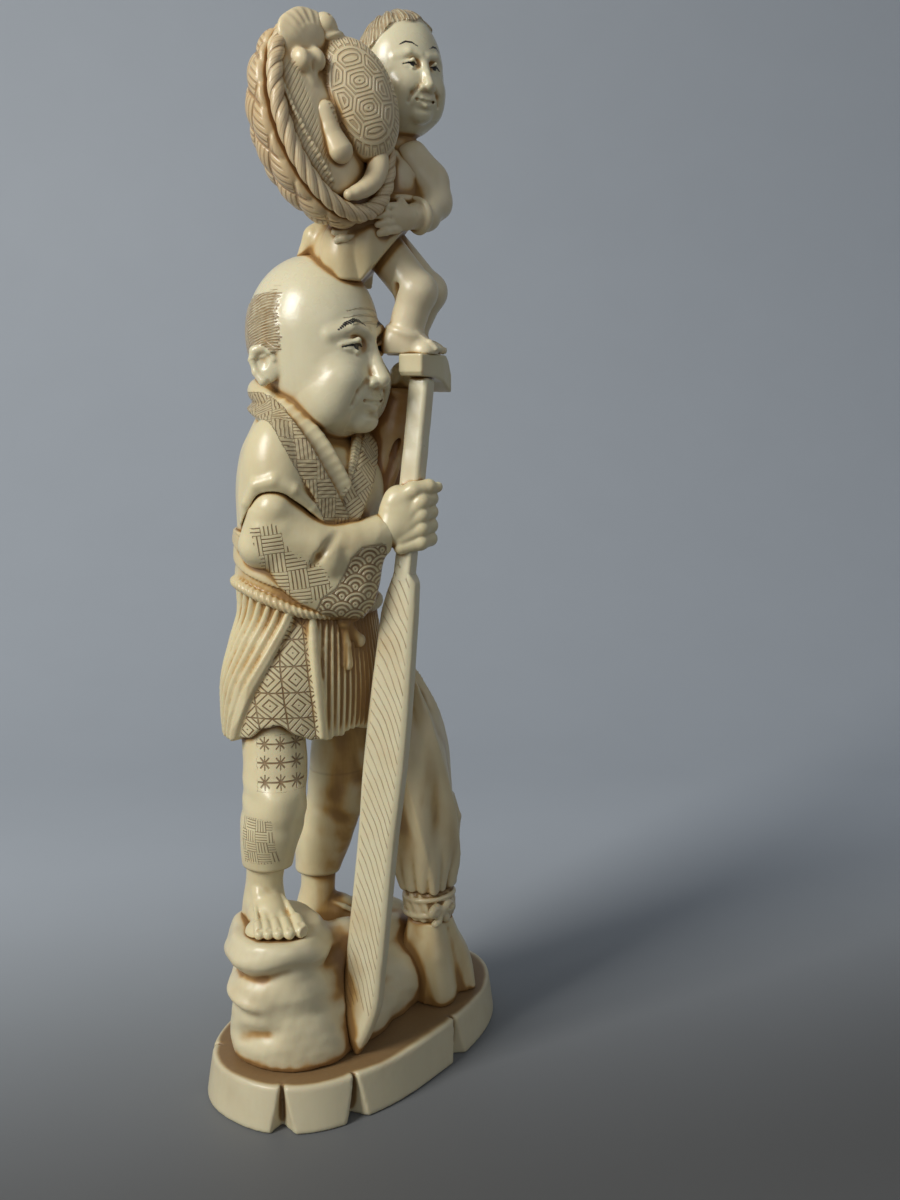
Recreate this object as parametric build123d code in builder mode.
from build123d import *
from math import copysign, cos, pi, sin
import os

# Sectional ivory okimono: a fisherman with an oar carries a boy who holds a basket of catch.
# Millimetres. The origin is the middle of the plinth's underside, +Z is up, +X runs along the
# plinth and the fisherman looks towards -Y. Each block of ivory is a part of its own, pegged
# and glued to the next, so nothing in the carving moves.

os.makedirs("parts", exist_ok=True)

# Plinth
plinth_length = 83.6
plinth_width = 46.8
plinth_height = 10.5
plinth_flare = 1.5
plinth_edge = 0.5
plinth_squareness = 2.4
notch_top_width = 1.0
notch_foot_width = 3.8
notch_depth = 2.4
notch_turn_shares = [0.065, 0.152, 0.283, 0.396, 0.571, 0.652, 0.783]

# Rock
high_step = 31.0
low_step = 19.5
boulder_width = 27.8
ledge_length = 61.0
ledge_width = 27.0

# Fisherman
man_height = 150.0
man_across = -10.0
man_back = 7.0
thigh_width = 15.4
shin_width = 10.4
foot_length = 17.0
foot_width = 12.6
foot_height = 6.4
toe_width = 2.7
toe_count = 5
skirt_width = 43.2
skirt_depth = 32.0
skirt_wall = 1.1
hem_drop = 3.0
pleat_count = 34
pleat_depth = 0.35
sash_width = 40.6
sash_depth = 29.8
cord_thickness = 3.2
knot_width = 4.4
tail_length = 11.0
torso_width = 41.0
torso_depth = 29.8
mantle_length = 27.0
mantle_thickness = 15.5
lapel_width = 5.6
lapel_thickness = 2.0
sleeve_drop = 23.6
sleeve_thickness = 13.6
cuff_height = 10.4
cuff_thickness = 8.4
finger_width = 2.9
palm_width = 11.0
skull_width = 27.4
skull_depth = 31.6
skull_height = 34.0
jaw_width = 21.0
jaw_depth = 24.0
jaw_height = 27.0
neck_width = 14.5
ear_height = 8.6
nose_height = 7.4
arm_sleeve_width = 13.0
arm_sleeve_depth = 12.6
hand_width = 7.6

# Oar
oar_length = 156.5
shaft_diameter = 5.3
blade_length = 110.0
blade_width = 10.4
blade_thickness = 4.3
blade_bevel = 1.1
scarf_length = 14.0
grip_length = 11.0
grip_depth = 6.4
grip_height = 4.4
grip_hook = 5.0

# Boy
boy_rise = 51.0
boy_chest_width = 14.6
boy_robe_width = 25.0
boy_robe_depth = 19.0
boy_leg_width = 9.8
boy_foot_length = 12.4
boy_foot_width = 5.6
boy_foot_height = 3.6
boy_arm_width = 6.0
boy_head_width = 18.8
boy_head_depth = 19.6
boy_head_height = 26.4
boy_neck_width = 8.0

# Basket and catch
basket_length = 43.0
basket_width = 29.0
basket_depth = 17.0
basket_wall = 1.6
basket_fill = 2.6
rope_diameter = 3.6
fish_length = 31.0
fish_width = 13.0
fish_thickness = 4.4
turtle_length = 26.0
turtle_width = 17.0
turtle_dome = 6.0
flipper_length = 10.0
flipper_width = 4.6
eel_diameter = 2.8

# Bundle
bundle_width = 18.2
bundle_depth = 17.0
tie_height = 7.5
tie_width = 13.2
bow_width = 4.0
fold_spread = 24.5
fold_depth = 17.5
fold_count = 11
fold_groove = 0.8

# Pegs and fits
peg_diameter = 3.6
small_peg_diameter = 2.0
peg_reach = 5.0
peg_clearance = 0.05
seat_gap = 0.15
grip_clearance = 0.1
overrun = 1.0

# Levels of the joints, worked out from the sizes above
ledge_level = plinth_height + low_step
standing_level = plinth_height + high_step
crown_level = standing_level + man_height


def man(across_share, back_share, up_share):
    """Place on the fisherman: shares of his height from his axis on the high step."""
    return Vector(
        man_across + across_share * man_height,
        man_back + back_share * man_height,
        standing_level + up_share * man_height,
    )


def boy(across_share, back_share, up_share):
    """Place on the boy: shares of his rise above the fisherman's crown."""
    return Vector(
        man_across + across_share * boy_rise,
        man_back + back_share * boy_rise,
        crown_level + up_share * boy_rise,
    )


def oval(plane, half_width, half_depth, squareness=2.0, flutes=0, flute_depth=0.0):
    """Closed smooth outline: a superellipse, fluted all round when asked."""
    count = 4 * flutes if flutes else 12
    points = []
    for index in range(count):
        angle = 2 * pi * index / count
        along = copysign(abs(cos(angle)) ** (2 / squareness), cos(angle))
        aside = copysign(abs(sin(angle)) ** (2 / squareness), sin(angle))
        inset = flute_depth * (1 - cos(flutes * angle)) / 2
        points.append((along * (half_width - inset), aside * (half_depth - inset)))
    with BuildSketch(plane) as outline:
        with BuildLine():
            Spline(*points, periodic=True)
        make_face()
    return outline.sketch


def level_plane(centre):
    """Horizontal plane through a place."""
    return Plane(origin=centre, x_dir=(1, 0, 0), z_dir=(0, 0, 1))


def path_planes(path, across):
    """Planes square to a path at each of its places, with one side turned across."""
    planes = []
    for index, place in enumerate(path):
        ahead = path[min(index + 1, len(path) - 1)]
        behind = path[max(index - 1, 0)]
        tangent = (ahead - behind).normalized()
        side = across - tangent * across.dot(tangent)
        planes.append(Plane(origin=place, x_dir=side.normalized(), z_dir=tangent))
    return planes


def column(places, width, depth, rings, grow=0.0, squareness=2.0, flutes=0, groove=0.0):
    """Upright body lofted through level ovals; rings are shares of its width and depth."""
    outlines = []
    for place, (width_share, depth_share) in zip(places, rings):
        half_width = width_share * width / 2 + grow
        half_depth = depth_share * depth / 2 + grow
        outlines.append(oval(level_plane(place), half_width, half_depth, squareness, flutes, groove))
    return loft(outlines, mode=Mode.PRIVATE)


def limb(path, across, width, depth, rings, grow=0.0):
    """Limb lofted through ovals square to its path; rings are shares of width and depth."""
    outlines = []
    for plane, (width_share, depth_share) in zip(path_planes(path, across), rings):
        half_width = width_share * width / 2 + grow
        half_depth = depth_share * depth / 2 + grow
        outlines.append(oval(plane, half_width, half_depth))
    return loft(outlines, mode=Mode.PRIVATE)


def egg(plane, width, depth, height, grow=0.0):
    """Egg-shaped mass about a plane's origin, with its axes along the plane's."""
    halves = (width / 2 + grow, depth / 2 + grow, height / 2 + grow)
    ball = scale(Sphere(1, mode=Mode.PRIVATE), by=halves, mode=Mode.PRIVATE)
    return plane.location * ball


def peg_bore(places, diameter, reach):
    """Cylinders that pegs need, about each place, longer and wider by the clearance."""
    with BuildPart() as bores:
        for place in places:
            with BuildSketch(level_plane(place)):
                Circle(diameter / 2 + peg_clearance)
            extrude(amount=reach + peg_clearance, both=True)
    return bores.part


def pegs_at(places, diameter, reach):
    """Plain ivory pegs with softened ends, half in the piece below and half above."""
    with BuildPart() as pegs:
        for place in places:
            with BuildSketch(level_plane(place)):
                Circle(diameter / 2)
            extrude(amount=reach, both=True)
        chamfer(pegs.edges().filter_by(GeomType.CIRCLE), diameter / 10)
    return pegs.part


def finish(piece, label):
    """Names a piece and writes it."""
    piece.part.label = label
    export_step(piece.part, f"parts/{label}.step")


# Oar axis, from its foot on the plinth up through the fist
oar_foot = Vector(-0.218 * plinth_length, -0.312 * plinth_width, plinth_height)
oar_aim = man(0.060, -0.150, 0.623)
oar_axis = (oar_aim - oar_foot).normalized()
blade_facing = Vector(-cos(pi / 18), -sin(pi / 18), 0)
shaft_start = oar_foot + oar_axis * blade_length
oar_top = oar_foot + oar_axis * oar_length
fist_place = oar_foot + oar_axis * (0.794 * oar_length)


def blade_shape(grow=0.0):
    """Long blade of bevelled section, pointed at the foot and drawn in at the neck."""
    along_shares = [0.003, 0.14, 0.28, 0.45, 0.62, 0.76, 0.86, 0.96, 1.0]
    width_shares = [0.12, 0.92, 0.93, 0.93, 1.0, 0.93, 0.76, 0.46, 0.44]
    outlines = []
    for along_share, width_share in zip(along_shares, width_shares):
        origin = oar_foot + oar_axis * (along_share * blade_length)
        plane = Plane(origin=origin, x_dir=blade_facing, z_dir=(0, 0, 1))
        half_wide = width_share * blade_width / 2 + grow
        half_thick = min(blade_thickness / 2, half_wide) + grow
        bevel = min(blade_bevel, half_wide / 3)
        corners = [
            (half_thick, half_wide - bevel),
            (half_thick - bevel, half_wide),
            (-half_thick + bevel, half_wide),
            (-half_thick, half_wide - bevel),
            (-half_thick, -half_wide + bevel),
            (-half_thick + bevel, -half_wide),
            (half_thick - bevel, -half_wide),
            (half_thick, -half_wide + bevel),
        ]
        with BuildSketch(plane) as section:
            with BuildLine():
                Polyline(*corners, close=True)
            make_face()
        outlines.append(section.sketch)
    return loft(outlines, ruled=True, mode=Mode.PRIVATE)


# Plinth: oval with a flared side and V notches, narrow at the rim and wide at the foot
def plinth_outline(height, spread):
    """Oval of the plinth at a height, wider all round by a spread."""
    plane = Plane.XY.offset(height)
    half_length = plinth_length / 2 + spread
    half_width = plinth_width / 2 + spread
    return oval(plane, half_length, half_width, plinth_squareness, flutes=6)


def notch_cutter(turn_share):
    """Wedge that cuts one V notch in the plinth's side."""
    angle = 2 * pi * turn_share
    place = (cos(angle) * plinth_length / 2, sin(angle) * plinth_width / 2)
    reach = ((abs(place[0]) * 2 / plinth_length) ** plinth_squareness
             + (abs(place[1]) * 2 / plinth_width) ** plinth_squareness) ** (1 / plinth_squareness)
    place = Vector(place[0] / reach, place[1] / reach, 0)
    outward = Vector(cos(angle) / plinth_length, sin(angle) / plinth_width, 0).normalized()
    sections = []
    for step_out, share in ((plinth_flare + overrun, 1.6), (-notch_depth, 0.05)):
        plane = Plane(origin=place + outward * step_out, x_dir=outward.cross(Vector(0, 0, 1)), z_dir=outward)
        rise = plane.to_local_coords(place + outward * step_out + Vector(0, 0, plinth_height + overrun)).Y
        foot = -copysign(overrun, rise)
        with BuildSketch(plane) as section:
            with BuildLine():
                Polyline(
                    (-share * notch_foot_width / 2, foot),
                    (share * notch_foot_width / 2, foot),
                    (share * notch_top_width / 2, rise),
                    (-share * notch_top_width / 2, rise),
                    close=True,
                )
            make_face()
        sections.append(section.sketch)
    return loft(sections, ruled=True, mode=Mode.PRIVATE)


notch_cutters = [notch_cutter(turn_share) for turn_share in notch_turn_shares]
plinth_peg_places = [
    Vector(-0.3 * plinth_length, 0, plinth_height),
    Vector(0.12 * plinth_length, 0.1 * plinth_width, plinth_height),
]
plinth_bores = peg_bore(plinth_peg_places, peg_diameter, peg_reach)

with BuildPart() as plinth:
    loft([plinth_outline(0, plinth_flare), plinth_outline(plinth_height, 0)], ruled=True)
    chamfer(plinth.faces().sort_by(Axis.Z)[-1].edges(), plinth_edge)
    for cutter in notch_cutters:
        add(cutter, mode=Mode.SUBTRACT)
    add(plinth_bores, mode=Mode.SUBTRACT)
finish(plinth, "plinth")

with BuildPart() as plinth_pegs:
    add(pegs_at(plinth_peg_places, peg_diameter, peg_reach))
finish(plinth_pegs, "plinth_pegs")


# Bundle: a furled net, swollen below, gathered by a band and flaring in folds at its foot
bundle_axis_shares = [
    (0.162, -0.070, 0.345), (0.165, -0.073, 0.318), (0.170, -0.077, 0.285), (0.173, -0.081, 0.232),
    (0.177, -0.086, 0.160), (0.182, -0.090, 0.095), (0.184, -0.094, 0.030), (0.181, -0.099, -0.022),
]
bundle_ring_shares = [
    (0.14, 0.14), (0.38, 0.36), (0.6, 0.58), (0.86, 0.84),
    (0.95, 0.93), (1.0, 1.0), (0.98, 0.98), (0.7, 0.72),
]
bundle_places = [man(*shares) for shares in bundle_axis_shares]
tie_top = bundle_places[-1]
tie_foot = tie_top - Vector(0, 0, tie_height)
tie_middle = (tie_top + tie_foot) * 0.5
fold_foot = Vector(tie_foot.X + fold_spread / 8, tie_foot.Y, plinth_height)


def fold_shape(grow=0.0):
    """Flaring foot of the bundle, folded all round."""
    shares = [(0.5, 0.62), (0.72, 0.8), (0.9, 0.94), (1.0, 1.0)]
    steps = [0, 0.3, 0.65, 1]
    places = [tie_foot + (fold_foot - tie_foot) * step for step in steps]
    return column(
        places, fold_spread, fold_depth, shares, grow, flutes=fold_count, groove=fold_groove
    )


bundle_body = column(bundle_places, bundle_width, bundle_depth, bundle_ring_shares)
bundle_tip = bundle_places[0] - Vector(0, 0, 0.05 * bundle_width)
bundle_cap = egg(level_plane(bundle_tip), bundle_width * 0.27, bundle_depth * 0.27, bundle_width * 0.27)
folds = fold_shape()
folds_seat = fold_shape(seat_gap)

with BuildPart() as net_bundle:
    add(bundle_body)
    add(bundle_cap)
finish(net_bundle, "net_bundle")

tie_band = column(
    [tie_top, tie_middle, tie_foot], tie_width, tie_width, [(0.86, 0.82), (1.0, 0.96), (0.88, 0.82)]
)
bow_place = tie_middle + Vector(-0.24 * tie_width, -0.42 * tie_width, -bow_width / 8)
bow_loops = [
    egg(Plane(origin=bow_place + Vector(side * bow_width * 0.55, -side * bow_width * 0.1, 0),
              x_dir=(1, 0, side * 0.4), z_dir=(0, 1, 0)), bow_width * 1.3, bow_width * 0.8, bow_width)
    for side in (-1, 1)
]
with BuildPart() as bundle_tie:
    add(tie_band)
    for bow_loop in bow_loops:
        add(bow_loop)
    add(folds_seat, mode=Mode.SUBTRACT)
    split(bisect_by=level_plane(tie_foot), keep=Keep.TOP)
    split(bisect_by=level_plane(tie_top), keep=Keep.BOTTOM)
finish(bundle_tie, "bundle_tie")

with BuildPart() as bundle_foot:
    add(folds)
finish(bundle_foot, "bundle_foot")


# Rock: a tall creased boulder at one end and a lower ledge along the plinth
boulder_foot = Vector(-0.27 * plinth_length, 0.02 * plinth_width, plinth_height)
boulder_top = Vector(-0.325 * plinth_length, 0.045 * plinth_width, standing_level)
boulder_up_shares = [0, 0.17, 0.34, 0.51, 0.68, 0.85, 1.0]
boulder_ring_shares = [
    (1.0, 0.98), (1.03, 1.0), (1.0, 0.96), (0.97, 0.88), (1.0, 0.82), (1.0, 0.78), (0.92, 0.7),
]
boulder_outlines = []
for up_share, (long_share, wide_share) in zip(boulder_up_shares, boulder_ring_shares):
    origin = boulder_foot + (boulder_top - boulder_foot) * up_share
    plane = Plane(origin=origin, x_dir=(0.766, 0.643, 0), z_dir=(0, 0, 1))
    boulder_outlines.append(
        oval(plane, long_share * boulder_width / 2, wide_share * boulder_width / 2, 2.3)
    )
boulder = loft(boulder_outlines, mode=Mode.PRIVATE)
ledge_centre = Vector(0.02 * plinth_length, 0.06 * plinth_width, plinth_height)
ledge_up_shares = [0, 0.3, 0.6, 0.88, 1.0]
ledge_ring_shares = [(1.0, 1.0), (1.02, 1.04), (0.97, 1.0), (0.84, 0.94), (0.76, 0.84)]
ledge_lean = Vector(-0.03 * plinth_length, 0.06 * plinth_width, 0)
ledge = column(
    [ledge_centre + ledge_lean * share + Vector(0, 0, share * low_step) for share in ledge_up_shares],
    ledge_length, ledge_width, ledge_ring_shares,
)
blade_seat = blade_shape(seat_gap)
tie_seat = egg(level_plane(tie_middle), tie_width * 1.3, tie_width * 1.3, tie_height * 2.4)

with BuildPart() as rock:
    add(ledge)
    add(boulder)
    for cutter in (folds_seat, tie_seat, blade_seat, plinth_bores):
        add(cutter, mode=Mode.SUBTRACT)
finish(rock, "rock")


# Legs: cropped trousers with a hem, bare shins and splayed bare feet
skirt_seat_level = man(0, 0, 0.283)
right_trouser_shares = [
    (-0.084, -0.002, 0.283), (-0.093, -0.012, 0.230), (-0.1027, -0.021, 0.190),
    (-0.1067, -0.016, 0.143), (-0.106, -0.009, 0.100), (-0.106, -0.007, 0.082),
]
right_shin_shares = [(-0.106, -0.007, 0.1), (-0.105, 0.002, 0.048), (-0.1, 0.007, 0.016), (-0.1, 0.009, 0)]
left_trouser_shares = [
    (0.081, -0.004, 0.283), (0.077, 0.003, 0.237), (0.071, 0.010, 0.141),
    (0.059, 0.025, 0.074), (0.057, 0.033, 0.030), (0.057, 0.037, 0.014),
]
left_shin_shares = [(0.057, 0.037, 0.03), (0.057, 0.037, -0.017)]
trouser_ring_shares = [(0.95, 0.92), (0.95, 0.95), (0.89, 0.93), (0.9, 0.93), (0.76, 0.8), (0.66, 0.68)]
shin_ring_shares = [(0.9, 0.9), (0.82, 0.86), (0.92, 1.0), (1.0, 1.05)]
left_foot_drop = ledge_level - standing_level


def foot_shape(heel, heading, big_toe_side):
    """Bare foot on a flat sole: instep, splayed front and five toes."""
    aside = heading.cross(Vector(0, 0, 1))
    steps = [-0.1, 0.12, 0.4, 0.68, 0.86]
    shares = [(0.5, 0.7), (0.64, 1.0), (0.76, 1.0), (0.98, 0.66), (1.0, 0.42)]
    outlines = []
    for step, (wide, high) in zip(steps, shares):
        plane = Plane(origin=heel + heading * (step * foot_length), x_dir=aside, z_dir=heading)
        outlines.append(oval(plane, wide * foot_width / 2, high * foot_height))
    masses = [loft(outlines, mode=Mode.PRIVATE)]
    for index in range(toe_count):
        spread = index / (toe_count - 1) - 0.5
        size = 1.25 - 0.12 * index
        reach = 0.9 - 0.035 * index
        centre = (heel + heading * (reach * foot_length)
                  + aside * (-big_toe_side * spread * (foot_width - toe_width))
                  + Vector(0, 0, toe_width * 0.3))
        plane = Plane(origin=centre, x_dir=aside, z_dir=(0, 0, 1))
        masses.append(egg(plane, size * toe_width, toe_width * 2.1, toe_width * size))
    return masses


def leg_masses(trouser_shares, shin_places, heel, heading, big_toe_side):
    """All masses of one leg, to be joined and cut flat at the sole."""
    trouser_places = [man(*shares) for shares in trouser_shares]
    trouser = column(trouser_places, thigh_width, thigh_width, trouser_ring_shares)
    shin = column(shin_places, shin_width, shin_width, shin_ring_shares)
    return [trouser, shin] + foot_shape(heel, heading, big_toe_side)


right_shin_places = [man(*shares) for shares in right_shin_shares]
left_sole = man(0.056, 0.04, 0) + Vector(0, 0, left_foot_drop)
left_shin_places = [man(*shares) for shares in left_shin_shares]
left_shin_places += [left_sole + (left_shin_places[-1] - left_sole) * 0.3, left_sole]
right_heel = man(-0.095, 0.018, 0)
left_heel = left_sole + Vector(-0.05, 0.06, 0) * foot_length
right_leg_masses = leg_masses(
    right_trouser_shares, right_shin_places, right_heel, Vector(-0.5, -0.866, 0).normalized(), 1
)
left_leg_masses = leg_masses(
    left_trouser_shares, left_shin_places, left_heel, Vector(0.643, -0.766, 0).normalized(), -1
)
leg_peg_places = [man(*right_trouser_shares[0]), man(*left_trouser_shares[0])]
leg_bores = peg_bore(leg_peg_places, peg_diameter, peg_reach)

with BuildPart() as right_leg:
    for mass in right_leg_masses:
        add(mass)
    split(bisect_by=Plane.XY.offset(standing_level), keep=Keep.TOP)
    add(leg_bores, mode=Mode.SUBTRACT)
finish(right_leg, "right_leg")

with BuildPart() as left_leg:
    for mass in left_leg_masses:
        add(mass)
    split(bisect_by=Plane.XY.offset(ledge_level), keep=Keep.TOP)
    add(leg_bores, mode=Mode.SUBTRACT)
finish(left_leg, "left_leg")

with BuildPart() as leg_pegs:
    add(pegs_at(leg_peg_places, peg_diameter, peg_reach))
finish(leg_pegs, "leg_pegs")


# Skirt of the short coat: pleated bell, hollow under its hem where the legs butt
skirt_axis_shares = [(0.0, 0.0, 0.470), (-0.002, 0.002, 0.43), (-0.003, 0.005, 0.371), (-0.003, 0.005, 0.317)]
skirt_ring_shares = [(0.83, 0.83), (0.9, 0.9), (1.0, 1.0), (1.0, 1.0)]
hem_place = man(-0.004, 0.006, 0.283) - Vector(0, 0, hem_drop)
skirt_places = [man(*shares) for shares in skirt_axis_shares] + [hem_place]
skirt_rings = skirt_ring_shares + [(0.955, 0.955)]
hem_hollow_places = [Vector(hem_place.X, hem_place.Y, skirt_seat_level.Z), hem_place - Vector(0, 0, overrun)]
waist_place = man(*skirt_axis_shares[0])
waist_bore = peg_bore([waist_place], peg_diameter, peg_reach)


def skirt_shape(grow=0.0):
    """Plain envelope of the skirt."""
    return column(skirt_places, skirt_width, skirt_depth, skirt_rings, grow)


right_trouser_seat = column(
    [man(*shares) for shares in right_trouser_shares], thigh_width, thigh_width, trouser_ring_shares, seat_gap
)
left_trouser_seat = column(
    [man(*shares) for shares in left_trouser_shares], thigh_width, thigh_width, trouser_ring_shares, seat_gap
)
pleated_skirt = column(
    skirt_places, skirt_width, skirt_depth, skirt_rings, flutes=pleat_count, groove=pleat_depth
)
hem_hollow = column(
    hem_hollow_places, skirt_width - 2 * skirt_wall - 2 * pleat_depth,
    skirt_depth - 2 * skirt_wall - 2 * pleat_depth, [skirt_rings[-1]] * 2,
)
with BuildPart() as skirt:
    add(pleated_skirt)
    for cutter in (hem_hollow, right_trouser_seat, left_trouser_seat, leg_bores, waist_bore):
        add(cutter, mode=Mode.SUBTRACT)
finish(skirt, "skirt")


# Sash: broad belt block with a rolled cord slanting round its lower edge
sash_axis_shares = [
    (0.0, 0.0, 0.470), (0.001, 0.0, 0.5), (0.001, 0.0, 0.53), (0.002, 0.0, 0.56), (0.002, -0.001, 0.590),
]
sash_ring_shares = [(0.88, 0.89), (0.9, 0.91), (0.93, 0.94), (0.97, 0.97), (0.98, 0.98)]
sash_places = [man(*shares) for shares in sash_axis_shares]
chest_place = sash_places[-1]
chest_bore = peg_bore([chest_place], peg_diameter, peg_reach)
cord_plane = Plane(origin=man(0.001, 0.0, 0.488), x_dir=(1, 0, 0.05), z_dir=(-0.05, 0.12, 1))


def ring_cord(plane, length, width, thickness):
    """Round cord along an oval."""
    with BuildSketch(plane) as route:
        Ellipse(length / 2, width / 2)
    line = route.sketch.edges()[0]
    with BuildPart() as cord:
        with BuildSketch(Plane(origin=line @ 0, x_dir=plane.z_dir, z_dir=line % 0)):
            Circle(thickness / 2)
        sweep(path=line)
    return cord.part


def sash_shape(grow=0.0):
    """The belt block."""
    return column(sash_places, sash_width, sash_depth, sash_ring_shares, grow)


sash_block = sash_shape()
sash_cord = ring_cord(cord_plane, sash_width * 0.89, sash_depth * 0.9, cord_thickness)
with BuildPart() as sash:
    add(sash_block)
    add(sash_cord)
    split(bisect_by=level_plane(waist_place), keep=Keep.TOP)
    add(waist_bore, mode=Mode.SUBTRACT)
    add(chest_bore, mode=Mode.SUBTRACT)
finish(sash, "sash")

with BuildPart() as waist_pegs:
    add(pegs_at([waist_place, chest_place], peg_diameter, peg_reach))
finish(waist_pegs, "waist_pegs")


# Torso: chest, shoulders, the mantle over the right upper arm and the crossed lapels
torso_axis_shares = [
    (0.002, -0.001, 0.590), (0.003, -0.003, 0.622), (0.004, -0.004, 0.654), (0.004, -0.004, 0.686),
    (0.004, 0.004, 0.715), (0.004, 0.016, 0.740),
]
torso_ring_shares = [(0.95, 0.95), (0.97, 0.98), (1.0, 1.0), (0.98, 0.96), (0.88, 0.86), (0.62, 0.64)]
torso_places = [man(*shares) for shares in torso_axis_shares]
neck_place = torso_places[-1]


def torso_shape(grow=0.0):
    """Chest and shoulders."""
    return column(torso_places, torso_width, torso_depth, torso_ring_shares, grow)


def mantle_shape(grow=0.0):
    """Fall of the coat over the right shoulder and upper arm."""
    plane = Plane(origin=man(-0.094, -0.026, 0.672), x_dir=(1, 0.2, 0.1), z_dir=(-0.1, 0, 1))
    return egg(plane, mantle_thickness, mantle_thickness * 1.05, mantle_length, grow)


lapel_path_shares = [
    (-0.045, 0.066, 0.800), (-0.072, 0.018, 0.775), (-0.048, -0.055, 0.735), (-0.008, -0.096, 0.670),
    (0.022, -0.101, 0.600),
]
lapel_facing_shares = [(-0.4, 0.9, 0.5), (-1, 0.2, 0.6), (-0.6, -0.8, 0.6), (-0.2, -1, 0.2), (0.1, -1, 0)]


def lapel_shape(side):
    """Flat band from the nape over the shoulder, crossing the chest to the belt."""
    middle_share = torso_axis_shares[3][0]
    outlines = []
    path = [man(middle_share + side * (x - middle_share), y, z) for x, y, z in lapel_path_shares]
    for index, (place, facing) in enumerate(zip(path, lapel_facing_shares)):
        ahead = path[min(index + 1, len(path) - 1)]
        behind = path[max(index - 1, 0)]
        tangent = (ahead - behind).normalized()
        outward = Vector(side * facing[0], facing[1], facing[2])
        outward = (outward - tangent * outward.dot(tangent)).normalized()
        plane = Plane(origin=place, x_dir=outward, z_dir=tangent)
        outlines.append(oval(plane, lapel_thickness, lapel_width / 2))
    return loft(outlines, mode=Mode.PRIVATE)


skull_place = Vector(man(0.002, -0.008, 0).X, man(0, -0.008, 0).Y, crown_level - skull_height / 2)
jaw_place = skull_place + Vector(0, -0.16 * skull_depth, -0.36 * skull_height)


def head_shape(grow=0.0):
    """Skull alone, as the boy's robe meets it."""
    return egg(level_plane(skull_place), skull_width, skull_depth, skull_height, grow)


def jaw_shape(grow=0.0):
    """Lower face, as the collar meets it."""
    return egg(level_plane(jaw_place), jaw_width, jaw_depth, jaw_height, grow)


head_seat = head_shape(seat_gap)
jaw_seat = jaw_shape(seat_gap)
torso_block = torso_shape()
mantle = mantle_shape()
lapels = [lapel_shape(1), lapel_shape(-1)]
neck_bore = peg_bore([neck_place], peg_diameter, peg_reach)
collar_room = column(
    [neck_place, neck_place + Vector(0, 0, man_height / 10)], neck_width, neck_width,
    [(1.0, 1.0), (1.5, 1.6)], seat_gap,
)
with BuildPart() as torso:
    add(torso_block)
    add(mantle)
    for lapel in lapels:
        add(lapel)
    split(bisect_by=level_plane(chest_place), keep=Keep.TOP)
    for cutter in (collar_room, jaw_seat, head_seat, chest_bore, neck_bore):
        add(cutter, mode=Mode.SUBTRACT)
finish(torso, "torso")


# Right sleeve: bag that hangs from the bent forearm, its cuff square to the wrist
sleeve_back = man(-0.123, -0.003, 0)
sleeve_front = man(0.033, -0.133, 0)
sleeve_heading = (sleeve_front - sleeve_back).normalized()
sleeve_run_shares = [0.0, 0.12, 0.37, 0.65, 0.87, 1.0]
sleeve_up_shares = [0.58, 0.573, 0.556, 0.527, 0.541, 0.589]
sleeve_drop_shares = [0.35, 0.85, 1.0, 0.84, 0.84, 0.44]
sleeve_side_shares = [0.5, 0.95, 1.0, 0.86, 0.74, 0.62]


def right_sleeve_shape(grow=0.0):
    """The hanging bag of the right sleeve."""
    outlines = []
    table = zip(sleeve_run_shares, sleeve_up_shares, sleeve_drop_shares, sleeve_side_shares)
    for run, up, drop, side in table:
        origin = sleeve_back + (sleeve_front - sleeve_back) * run + Vector(0, 0, up * man_height)
        plane = Plane(origin=origin, x_dir=sleeve_heading.cross(Vector(0, 0, 1)), z_dir=sleeve_heading)
        half_side = side * sleeve_thickness / 2 + grow
        half_drop = drop * sleeve_drop / 2 + grow
        outlines.append(oval(plane, half_side, half_drop, 2.3))
    return loft(outlines, mode=Mode.PRIVATE)


right_sleeve_bag = right_sleeve_shape()
torso_seat = torso_shape(seat_gap)
mantle_seat = mantle_shape(seat_gap)
sash_seat = sash_shape(seat_gap)
skirt_seat = skirt_shape(seat_gap)
cord_seat = ring_cord(cord_plane, sash_width * 0.89, sash_depth * 0.9, cord_thickness + 2 * seat_gap)
with BuildPart() as right_sleeve:
    add(right_sleeve_bag)
    split(bisect_by=Plane(origin=sleeve_front, x_dir=(0, 0, 1), z_dir=sleeve_heading), keep=Keep.BOTTOM)
    for cutter in (mantle_seat, torso_seat, sash_seat, cord_seat, skirt_seat, torso.part):
        add(cutter, mode=Mode.SUBTRACT)
finish(right_sleeve, "right_sleeve")


# Knot of the sash cord with two tails over the front of the skirt
knot_place = man(0.055, -0.085, 0.462)
knot_ball = egg(level_plane(knot_place), knot_width * 1.3, knot_width, knot_width)
knot_tails = [
    limb([knot_place, knot_place + Vector(side * 0.16, -0.03, -0.5) * tail_length,
          knot_place + Vector(side * 0.24, 0.05, -1) * tail_length],
         Vector(1, 0, 0), knot_width * 0.7, knot_width * 0.45, [(0.8, 1), (1.1, 1), (1.3, 0.9)])
    for side in (-1, 1)
]
with BuildPart() as sash_knot:
    add(knot_ball)
    for tail in knot_tails:
        add(tail)
    for cutter in (sash_seat, cord_seat, skirt_seat):
        add(cutter, mode=Mode.SUBTRACT)
finish(sash_knot, "sash_knot")


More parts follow.
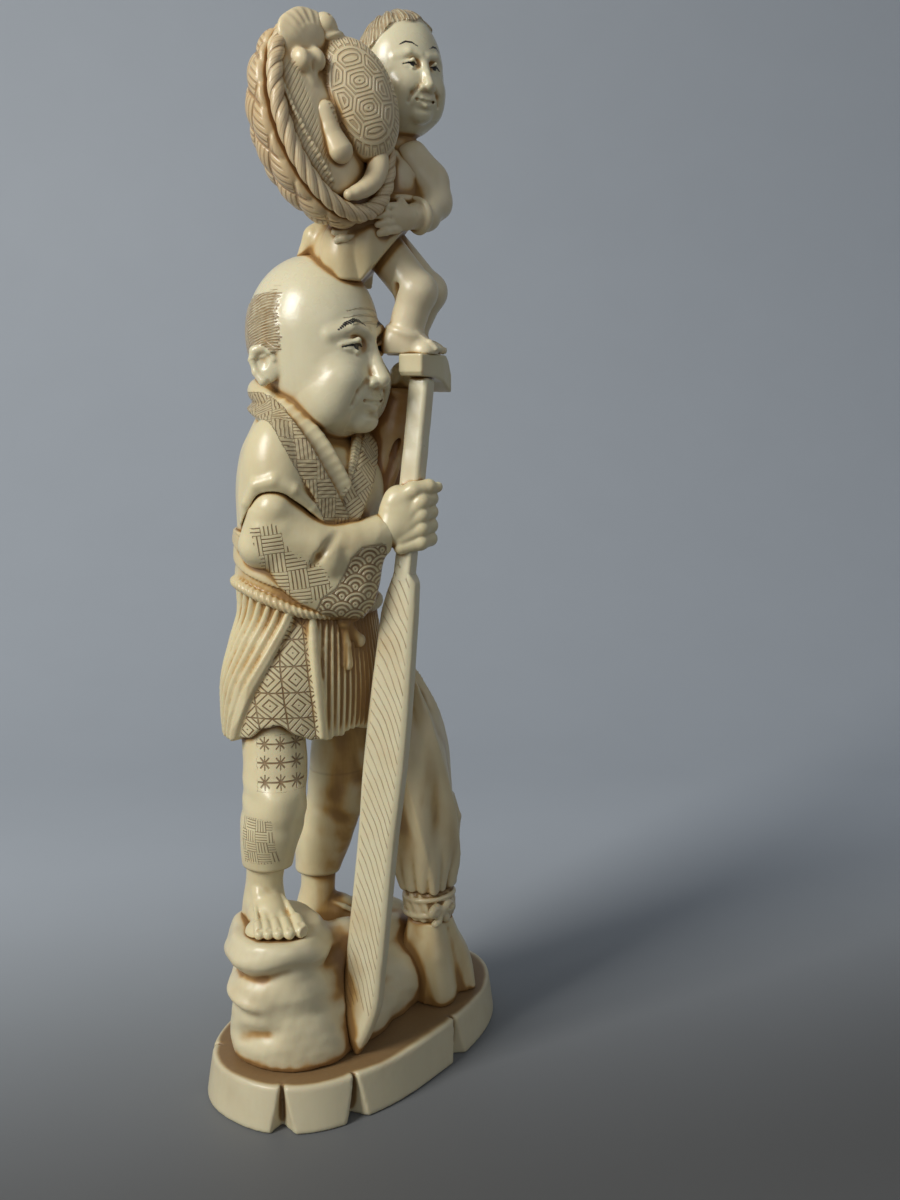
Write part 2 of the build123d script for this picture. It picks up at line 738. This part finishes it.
# Right hand: fist closed round the oar, four fingers and a thumb about a bored palm
shaft_plane = Plane(origin=fist_place, x_dir=(1, 0, 0), z_dir=oar_axis)
wrist_place = sleeve_front + Vector(0, 0, sleeve_up_shares[-1] * man_height)
wrist_path = [wrist_place, wrist_place + (fist_place - wrist_place) * 0.45, fist_place]
wrist = limb(wrist_path, Vector(0, 0, 1), cuff_height, cuff_thickness, [(0.72, 0.72), (0.8, 0.8), (1.1, 0.9)])
finger_ring_radius = shaft_diameter / 2 + finger_width * 0.2
palm = egg(Plane(origin=fist_place - sleeve_heading * palm_width / 8, x_dir=sleeve_heading, z_dir=oar_axis),
           palm_width, palm_width * 0.85, finger_width * 5.2)
shaft_bore = Cylinder(shaft_diameter / 2 + grip_clearance, palm_width * 2, mode=Mode.PRIVATE)
shaft_bore = shaft_plane.location * shaft_bore
fingers = []
for index in range(4):
    offset = (index - 2.0) * finger_width * 1.02
    ring_plane = Plane(origin=fist_place + oar_axis * offset, x_dir=sleeve_heading,
                       z_dir=(oar_axis + sleeve_heading * 0.35).normalized())
    fingers.append(ring_plane.location * Torus(finger_ring_radius, finger_width / 2, mode=Mode.PRIVATE))
thumb_start = fist_place + oar_axis * (2 * finger_width) - sleeve_heading * (palm_width * 0.3)
thumb = limb(
    [thumb_start, fist_place + oar_axis * (2.5 * finger_width) + Vector(-0.3, -0.9, 0) * finger_ring_radius,
     fist_place + oar_axis * (2.3 * finger_width) + sleeve_heading * (palm_width * 0.5)],
    Vector(0, 0, 1), finger_width, finger_width, [(1.2, 1.2), (1.1, 1.1), (0.8, 0.8)],
)
cuff_plane = Plane(origin=wrist_place, x_dir=(0, 0, 1), z_dir=sleeve_heading)
with BuildPart() as right_hand:
    add(palm)
    add(wrist)
    for finger in fingers:
        add(finger)
    add(thumb)
    split(bisect_by=cuff_plane, keep=Keep.TOP)
    add(shaft_bore, mode=Mode.SUBTRACT)
finish(right_hand, "right_hand")


# Oar: round shaft scarfed to the blade below the fist, arched cross grip pegged on top
scarf_normal = (oar_axis * 0.36 + blade_facing * 0.93).normalized()
scarf_plane = Plane(origin=shaft_start, x_dir=oar_axis.cross(scarf_normal), z_dir=scarf_normal)
shaft_low = shaft_start - oar_axis * (scarf_length / 2)
oar_top_plane = Plane(origin=oar_top, x_dir=(1, 0, 0), z_dir=oar_axis)
oar_peg_bore = oar_top_plane.location * Cylinder(
    small_peg_diameter / 2 + peg_clearance, peg_reach + 2 * peg_clearance, mode=Mode.PRIVATE
)
with BuildPart() as oar_shaft:
    with BuildSketch(Plane(origin=shaft_low, x_dir=(1, 0, 0), z_dir=oar_axis)):
        Circle(shaft_diameter * 0.46)
    with BuildSketch(Plane(origin=fist_place, x_dir=(1, 0, 0), z_dir=oar_axis)):
        Circle(shaft_diameter / 2)
    with BuildSketch(Plane(origin=oar_top + oar_axis * overrun, x_dir=(1, 0, 0), z_dir=oar_axis)):
        Circle(shaft_diameter / 2)
    loft(ruled=True)
    split(bisect_by=scarf_plane, keep=Keep.TOP)
    split(bisect_by=level_plane(oar_top), keep=Keep.BOTTOM)
    add(oar_peg_bore, mode=Mode.SUBTRACT)
finish(oar_shaft, "oar_shaft")

scarf_foot_plane = Plane(
    origin=oar_foot + oar_axis * (blade_length * 0.97), x_dir=blade_facing, z_dir=oar_axis
)
with BuildPart() as oar_blade:
    add(blade_shape())
    with BuildSketch(scarf_foot_plane):
        Ellipse(blade_thickness / 2, blade_width * 0.23)
    extrude(amount=scarf_length * 0.7)
    split(bisect_by=scarf_plane, keep=Keep.BOTTOM)
    split(bisect_by=Plane.XY.offset(plinth_height), keep=Keep.TOP)
finish(oar_blade, "oar_blade")

grip_plane = Plane(origin=oar_top, x_dir=(1, 0.1, 0), z_dir=Vector(0.1, -1, 0).normalized())
with BuildPart() as oar_grip:
    with BuildSketch(grip_plane):
        with BuildLine():
            low_start = (-0.52 * grip_length, 0)
            low_bend = (0.27 * grip_length, 0)
            low_end = (0.5 * grip_length, -grip_hook)
            high_end = (0.78 * grip_length, -grip_hook * 0.9)
            high_bend = (0.3 * grip_length, grip_height)
            high_start = (-0.52 * grip_length, grip_height)
            Line(low_start, low_bend)
            Line(low_bend, low_end)
            Line(low_end, high_end)
            ThreePointArc(high_end, (0.62 * grip_length, grip_height * 0.25), high_bend)
            Line(high_bend, high_start)
            Line(high_start, low_start)
        make_face()
    extrude(amount=grip_depth / 2, both=True)
    fillet(oar_grip.edges().filter_by(Axis(oar_top, grip_plane.z_dir)).sort_by(Axis.Z)[-1:], plinth_edge)
    add(oar_peg_bore, mode=Mode.SUBTRACT)
finish(oar_grip, "oar_grip")

with BuildPart() as oar_peg:
    with BuildSketch(oar_top_plane):
        Circle(small_peg_diameter / 2)
    extrude(amount=peg_reach / 2, both=True)
finish(oar_peg, "oar_peg")


# Fisherman's head: bald skull, full jaw, ears, nose and a neck that stands in the collar
skull = head_shape()
jaw = jaw_shape()
neck = column(
    [neck_place, neck_place + (jaw_place - neck_place) * 0.5, jaw_place],
    neck_width, neck_width, [(1.0, 1.0), (1.0, 1.05), (1.1, 1.2)],
)
ears = []
for side in (-1, 1):
    ear_place = skull_place + Vector(side * skull_width * 0.47, 0.04 * skull_depth, -0.22 * skull_height)
    ear_plane = Plane(origin=ear_place, x_dir=(1, side * 0.5, 0), z_dir=(0, 0, 1))
    ears.append(egg(ear_plane, ear_height * 0.42, ear_height * 0.7, ear_height))
nose_plane = Plane(origin=jaw_place + Vector(0, -0.5 * jaw_depth, 0.16 * jaw_height),
                   x_dir=(1, 0, 0), z_dir=(0, -0.28, 1))
nose = egg(nose_plane, nose_height * 0.62, nose_height * 0.8, nose_height * 1.3)
with BuildPart() as man_head:
    add(skull)
    add(jaw)
    add(neck)
    for ear in ears:
        add(ear)
    add(nose)
    add(neck_bore, mode=Mode.SUBTRACT)
finish(man_head, "man_head")

with BuildPart() as neck_peg:
    add(pegs_at([neck_place], peg_diameter, peg_reach))
finish(neck_peg, "neck_peg")


# Left arm: sleeve hanging from the raised arm, and the palm under the boy's left foot
left_palm_place = Vector(man(0.126, -0.105, 0).X, man(0, -0.105, 0).Y, oar_top.Z + grip_height)
arm_sleeve_shares = [
    (0.098, -0.062, 0.632), (0.115, -0.055, 0.68), (0.124, -0.06, 0.74), (0.126, -0.078, 0.79),
]
arm_sleeve_rings = [(0.7, 0.9), (0.95, 1.0), (0.9, 0.95), (0.72, 0.74)]
arm_sleeve_places = [man(*shares) for shares in arm_sleeve_shares]
wrist_top = arm_sleeve_places[-1]


def left_sleeve_shape(grow=0.0):
    """Hanging sleeve of the raised arm."""
    return column(arm_sleeve_places, arm_sleeve_width, arm_sleeve_depth, arm_sleeve_rings, grow)


left_sleeve_bag = left_sleeve_shape()
with BuildPart() as left_sleeve:
    add(left_sleeve_bag)
    for cutter in (torso_seat, head_seat, jaw_seat):
        add(cutter, mode=Mode.SUBTRACT)
finish(left_sleeve, "left_sleeve")

palm_top = left_palm_place
forearm = limb(
    [wrist_top, wrist_top + (palm_top - wrist_top) * 0.6, palm_top],
    Vector(1, 0, 0), hand_width, hand_width, [(0.9, 0.9), (0.95, 0.85), (1.2, 1.2)],
)
left_fingers = []
for index in range(4):
    finger_tip = palm_top + Vector((index - 1.5) * 0.29, -0.42, -0.12) * hand_width
    left_fingers.append(
        egg(level_plane(finger_tip), hand_width * 0.3, hand_width * 0.7, hand_width * 0.42)
    )
grip_room = Box(grip_length * 1.7, grip_depth + 2 * seat_gap, 3 * grip_hook, mode=Mode.PRIVATE)
grip_room = Plane(origin=oar_top, x_dir=(1, 0.1, 0), z_dir=(0, 0, 1)).location * grip_room
with BuildPart() as left_hand:
    add(forearm)
    for finger in left_fingers:
        add(finger)
    split(bisect_by=level_plane(palm_top), keep=Keep.BOTTOM)
    split(bisect_by=level_plane(wrist_top), keep=Keep.TOP)
    add(grip_room, mode=Mode.SUBTRACT)
finish(left_hand, "left_hand")


# Basket: oval bowl turned towards the front, filled nearly to its rope rim
basket_facing = Vector(-0.211, -0.961, 0.18).normalized()
basket_length_way = Vector(-0.255, 0.232, 0.94)
basket_place = boy(-0.166, -0.302, 0.495)
rim_plane = Plane(origin=basket_place, x_dir=basket_length_way, z_dir=basket_facing)


def bowl_shape(grow=0.0):
    """Outside of the basket, as a half egg behind its rim."""
    with BuildPart() as half:
        add(egg(rim_plane, basket_length, basket_width, 2 * basket_depth, grow))
        split(bisect_by=rim_plane, keep=Keep.BOTTOM)
    return half.part


bowl = bowl_shape()
bowl_hollow = egg(rim_plane, basket_length - 2 * basket_wall, basket_width - 2 * basket_wall,
                  2 * (basket_depth - basket_wall))
fill_plane = Plane(
    origin=basket_place - basket_facing * basket_fill, x_dir=rim_plane.x_dir, z_dir=basket_facing
)
with BuildPart() as hollow:
    add(bowl_hollow)
    split(bisect_by=fill_plane, keep=Keep.TOP)
with BuildPart() as basket:
    add(bowl)
    add(hollow.part, mode=Mode.SUBTRACT)
finish(basket, "basket")


def rim_shape(grow=0.0):
    """Rope bound round the mouth of the basket."""
    return ring_cord(rim_plane, basket_length, basket_width, rope_diameter + 2 * grow)


rope = rim_shape()
rim_seat = rim_shape(seat_gap)
bowl_seat = bowl_shape(seat_gap)
with BuildPart() as basket_rim:
    add(rope)
    split(bisect_by=rim_plane, keep=Keep.TOP)
finish(basket_rim, "basket_rim")


# Catch: flat fish on the filling, turtle over it and across the rim, eel curled below
def catch_place(along_share, aside_share, lift=0.0):
    """Place over the basket's mouth: shares of its half length and half width, and a lift."""
    return (basket_place + rim_plane.x_dir * (along_share * basket_length / 2)
            - rim_plane.y_dir * (aside_share * basket_width / 2) + basket_facing * lift)


turtle_facing = (basket_facing - rim_plane.y_dir * 0.27).normalized()
turtle_place = catch_place(0.12, 0.48, rope_diameter * 0.35)
turtle_plane = Plane(origin=turtle_place, x_dir=rim_plane.x_dir, z_dir=turtle_facing)


def turtle_shell(grow=0.0):
    """Whole egg of the shell, cut flat below at its own plane."""
    return egg(turtle_plane, turtle_length, turtle_width, 2 * turtle_dome, grow)


def turtle_place_at(along_share, aside_share):
    """Place round the turtle in shares of its half length and half width."""
    return (turtle_plane.origin + turtle_plane.x_dir * (along_share * turtle_length / 2)
            + turtle_plane.y_dir * (aside_share * turtle_width / 2))


shell = turtle_shell()
turtle_head = egg(Plane(origin=turtle_place_at(1.12, 0) + turtle_facing * turtle_dome / 4,
                        x_dir=turtle_plane.x_dir, z_dir=turtle_facing),
                  flipper_length * 0.85, flipper_width * 1.1, flipper_width)
flipper_shares = [(0.72, 0.75, 35), (0.7, -0.4, -20), (-0.66, 0.5, 150), (-0.8, -0.6, -150)]
flippers = []
for along_share, aside_share, angle in flipper_shares:
    flipper_place = turtle_place_at(along_share, aside_share) + turtle_facing * flipper_width / 8
    flipper_plane = Plane(origin=flipper_place, x_dir=turtle_plane.x_dir, z_dir=turtle_facing)
    flipper_plane = flipper_plane.rotated((0, 0, angle))
    flippers.append(egg(flipper_plane, flipper_length, flipper_width, flipper_width * 0.6))
with BuildPart() as turtle:
    add(shell)
    split(bisect_by=turtle_plane, keep=Keep.TOP)
    add(turtle_head)
    for flipper in flippers:
        add(flipper)
    split(bisect_by=fill_plane, keep=Keep.TOP)
    for cutter in (rim_seat, bowl_seat):
        add(cutter, mode=Mode.SUBTRACT)
finish(turtle, "turtle")

fish_plane = Plane(origin=catch_place(0.05, -0.32, -basket_fill), x_dir=rim_plane.x_dir, z_dir=basket_facing)
fish_body = egg(fish_plane, fish_length, fish_width, 2 * fish_thickness)
with BuildPart() as flat_fish:
    add(fish_body)
    split(bisect_by=fill_plane, keep=Keep.TOP)
    for cutter in (turtle.part, rim_seat):
        add(cutter, mode=Mode.SUBTRACT)
finish(flat_fish, "flat_fish")

eel_points = [catch_place(-0.42, 0.7, eel_diameter / 4), catch_place(-0.72, 0.3, eel_diameter / 4),
              catch_place(-0.78, -0.3, eel_diameter / 4)]
eel_line = ThreePointArc(*eel_points)
with BuildPart() as eel:
    with BuildSketch(Plane(origin=eel_line @ 0, x_dir=basket_facing, z_dir=eel_line % 0)):
        Circle(eel_diameter / 2)
    sweep(path=eel_line)
    with Locations(eel_line @ 0, eel_line @ 1):
        Sphere(eel_diameter / 2)
    split(bisect_by=fill_plane, keep=Keep.TOP)
    for cutter in (rim_seat, bowl_seat, turtle.part, flat_fish.part):
        add(cutter, mode=Mode.SUBTRACT)
finish(eel, "eel")


# Boy: robe skirt seated on the fisherman's crown
robe_axis_shares = [
    (0.274, -0.265, 0.186), (0.196, -0.216, 0.088), (0.137, -0.157, -0.01), (0.147, -0.196, -0.098),
]
robe_ring_shares = [(0.58, 0.74), (0.84, 0.9), (1.0, 1.0), (0.88, 0.9)]
robe_places = [boy(*shares) for shares in robe_axis_shares]
robe_top = robe_places[0]


def robe_shape(grow=0.0):
    """Skirt of the robe."""
    return column(robe_places, boy_robe_width, boy_robe_depth, robe_ring_shares, grow)


robe_body = robe_shape()
robe_seat = robe_shape(seat_gap)
boy_waist_bore = peg_bore([robe_top], small_peg_diameter, peg_reach)
with BuildPart() as boy_robe:
    add(robe_body)
    for cutter in (head_seat, boy_waist_bore):
        add(cutter, mode=Mode.SUBTRACT)
finish(boy_robe, "boy_robe")

# Boy: chest and bare belly
boy_body_shares = [
    (0.274, -0.265, 0.186), (0.300, -0.292, 0.257), (0.296, -0.289, 0.38), (0.294, -0.284, 0.44),
    (0.292, -0.282, 0.49),
]
boy_body_rings = [(0.92, 0.9), (1.02, 1.04), (0.84, 0.8), (0.62, 0.6), (0.5, 0.52)]
boy_body_places = [boy(*shares) for shares in boy_body_shares]
boy_neck_place = boy_body_places[-1]


def boy_body_shape(grow=0.0):
    """Chest and belly."""
    return column(boy_body_places, boy_chest_width, boy_chest_width, boy_body_rings, grow)


boy_body_mass = boy_body_shape()
boy_body_seat = boy_body_shape(seat_gap)
boy_neck_bore = peg_bore([boy_neck_place], small_peg_diameter, peg_reach)
with BuildPart() as boy_body:
    add(boy_body_mass)
    for cutter in (bowl_seat, rim_seat, boy_waist_bore, boy_neck_bore):
        add(cutter, mode=Mode.SUBTRACT)
finish(boy_body, "boy_body")

with BuildPart() as boy_pegs:
    add(pegs_at([robe_top, boy_neck_place], small_peg_diameter, peg_reach))
finish(boy_pegs, "boy_pegs")

# Boy: head with a cap of hair
boy_head_place = boy_neck_place + Vector(-0.01, 0, 0.51) * boy_head_height
boy_skull = egg(level_plane(boy_head_place), boy_head_width, boy_head_depth, boy_head_height)
boy_neck = column(
    [boy_neck_place, boy_head_place], boy_neck_width, boy_neck_width, [(0.92, 0.95), (1.1, 1.1)]
)
boy_hair = egg(level_plane(boy_head_place + Vector(0, 0.14 * boy_head_depth, 0.14 * boy_head_height)),
               boy_head_width * 1.03, boy_head_depth * 0.86, boy_head_height * 0.78)
boy_nose = egg(level_plane(boy_head_place + Vector(0, -0.49 * boy_head_depth, -0.08 * boy_head_height)),
               boy_head_width * 0.17, boy_head_depth * 0.14, boy_head_height * 0.16)
boy_ears = [
    egg(Plane(origin=boy_head_place + Vector(side * boy_head_width * 0.48, 0.05 * boy_head_depth,
                                             -0.1 * boy_head_height),
              x_dir=(1, side * 0.5, 0), z_dir=(0, 0, 1)),
        boy_head_width * 0.12, boy_head_depth * 0.2, boy_head_height * 0.18)
    for side in (-1, 1)
]
with BuildPart() as boy_head:
    for mass in [boy_skull, boy_neck, boy_hair, boy_nose] + boy_ears:
        add(mass)
    split(bisect_by=level_plane(boy_neck_place), keep=Keep.TOP)
    for cutter in (boy_neck_bore, bowl_seat, rim_seat, turtle.part):
        add(cutter, mode=Mode.SUBTRACT)
finish(boy_head, "boy_head")

# Boy: arms, the right one round the foot of the basket and the left bent to the belly
right_arm_path = [
    boy(0.196, -0.275, 0.39), boy(0.03, -0.25, 0.16), boy(0.07, -0.36, 0.135), boy(0.118, -0.445, 0.19),
]
left_arm_path = [
    boy(0.405, -0.275, 0.385), boy(0.45, -0.27, 0.25), boy(0.43, -0.36, 0.2), boy(0.33, -0.40, 0.21),
]
arm_rings = [(0.8, 0.8), (1.15, 1.0), (0.95, 0.9), (0.6, 0.7)]
right_arm_mass = limb(right_arm_path, Vector(0, 0.3, 1), boy_arm_width, boy_arm_width, arm_rings)
left_arm_mass = limb(left_arm_path, Vector(0, 0.3, 1), boy_arm_width, boy_arm_width, arm_rings)
hand_size = 0.75 * boy_arm_width
right_arm_hand = egg(level_plane(right_arm_path[-1]), hand_size, hand_size, hand_size)
left_arm_hand = egg(level_plane(left_arm_path[-1]), hand_size, hand_size, hand_size)
with BuildPart() as boy_right_arm:
    add(right_arm_mass)
    add(right_arm_hand)
    for cutter in (boy_body_seat, robe_seat, bowl_seat, rim_seat):
        add(cutter, mode=Mode.SUBTRACT)
finish(boy_right_arm, "boy_right_arm")

with BuildPart() as boy_left_arm:
    add(left_arm_mass)
    add(left_arm_hand)
    for cutter in (boy_body_seat, robe_seat):
        add(cutter, mode=Mode.SUBTRACT)
finish(boy_left_arm, "boy_left_arm")

# Boy: bent legs, the right foot on the oar's grip and the left in the fisherman's palm
grip_top = oar_top + Vector(0, 0, grip_height)
toe_way = Vector(0.643, -0.766, 0).normalized()


def boy_leg_masses(hip, knee, ankle, sole):
    """Thigh, knee, calf and a foot flat on its sole."""
    thigh = limb([hip, (hip + knee) * 0.5, knee], Vector(1, 0, 0), boy_leg_width, boy_leg_width,
                 [(1.2, 1.2), (1.15, 1.15), (1.0, 1.0)])
    cap = egg(level_plane(knee), boy_leg_width * 1.02, boy_leg_width * 1.08, boy_leg_width * 1.02)
    calf_path = [knee, (knee + ankle) * 0.5, ankle, sole - toe_way * (0.2 * boy_foot_length)]
    calf = limb(calf_path, Vector(1, 0, 0), boy_leg_width, boy_leg_width,
                [(0.96, 0.96), (0.92, 0.95), (0.7, 0.72), (0.62, 0.7)])
    heel = sole - toe_way * (0.42 * boy_foot_length)
    outlines = []
    for step, wide, high in ((0, 0.6, 0.9), (0.3, 0.85, 1.25), (0.65, 1.0, 0.9), (1, 0.8, 0.45)):
        plane = Plane(origin=heel + toe_way * (step * boy_foot_length),
                      x_dir=toe_way.cross(Vector(0, 0, 1)), z_dir=toe_way)
        outlines.append(oval(plane, wide * boy_foot_width / 2, high * boy_foot_height))
    foot = loft(outlines, mode=Mode.PRIVATE)
    return [thigh, cap, calf, foot]


right_sole_place = grip_top + Vector(-0.2, 0.1, 0) * boy_foot_length
right_boy_leg = boy_leg_masses(
    boy(0.23, -0.22, 0.06), right_sole_place + Vector(0.07, -0.1, 1.31) * boy_leg_width,
    right_sole_place + Vector(0, 0.18, 0.49) * boy_leg_width, right_sole_place,
)
left_boy_leg = boy_leg_masses(
    boy(0.33, -0.18, 0.06), left_palm_place + Vector(0.05, -0.35, 1.38) * boy_leg_width,
    left_palm_place + Vector(0, 0.15, 0.49) * boy_leg_width, left_palm_place,
)
with BuildPart() as boy_right_leg:
    for mass in right_boy_leg:
        add(mass)
    split(bisect_by=level_plane(grip_top), keep=Keep.TOP)
    for cutter in (robe_seat, head_seat):
        add(cutter, mode=Mode.SUBTRACT)
finish(boy_right_leg, "boy_right_leg")

with BuildPart() as boy_left_leg:
    for mass in left_boy_leg:
        add(mass)
    split(bisect_by=level_plane(left_palm_place), keep=Keep.TOP)
    for cutter in (robe_seat, head_seat, boy_right_leg.part):
        add(cutter, mode=Mode.SUBTRACT)
finish(boy_left_leg, "boy_left_leg")
